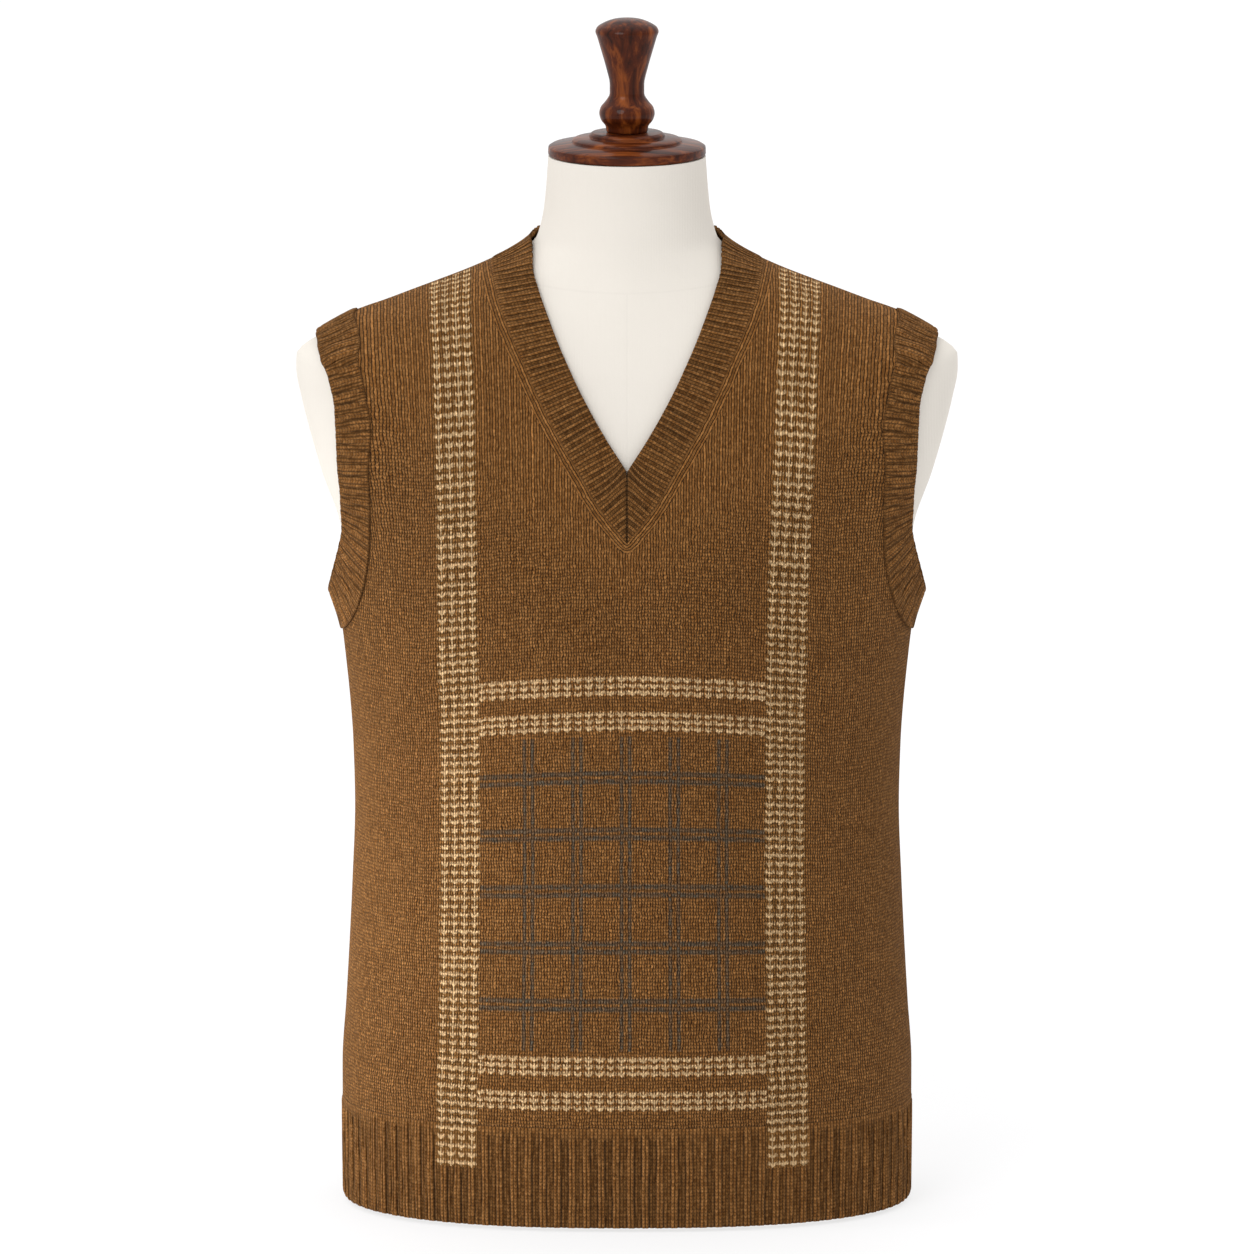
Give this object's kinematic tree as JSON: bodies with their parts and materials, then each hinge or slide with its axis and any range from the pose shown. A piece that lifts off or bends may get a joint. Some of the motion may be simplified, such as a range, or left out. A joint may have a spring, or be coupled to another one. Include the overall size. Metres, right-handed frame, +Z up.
{
  "type": "sweater vest on dress form",
  "caption": "V-neck knitted wool sweater vest with ribbed hem, neckband and armhole bands, worn on a limbless padded dress form with a turned wooden neck cap.",
  "frame": {"origin": "The centre of the dress form's flat base, which stands on the floor at Z = 0.", "axes": "+Z is up along the form's neck. -Y is the vest's front, and +X is to the right when looking at the front."},
  "size_m": [0.4484, 0.2436, 0.8127],
  "materials": {
    "brown_wool": "stocking stitch in heathered wool, slightly fuzzy",
    "brown_wool_rib": "ribbed heathered wool, slightly fuzzy",
    "cream_cover": "fine matt jersey over padding",
    "dark_beech": "stained and varnished, glossy"
  },
  "bodies": {
    "root": {"vest_front": "brown_wool", "vest_back": "brown_wool", "hem_rib_front": "brown_wool_rib", "hem_rib_back": "brown_wool_rib", "neckband": "brown_wool_rib", "armhole_band_right": "brown_wool_rib", "armhole_band_left": "brown_wool_rib", "form_body": "cream_cover", "neck_cap": "dark_beech", "finial": "dark_beech"}
  },
  "joints": []
}
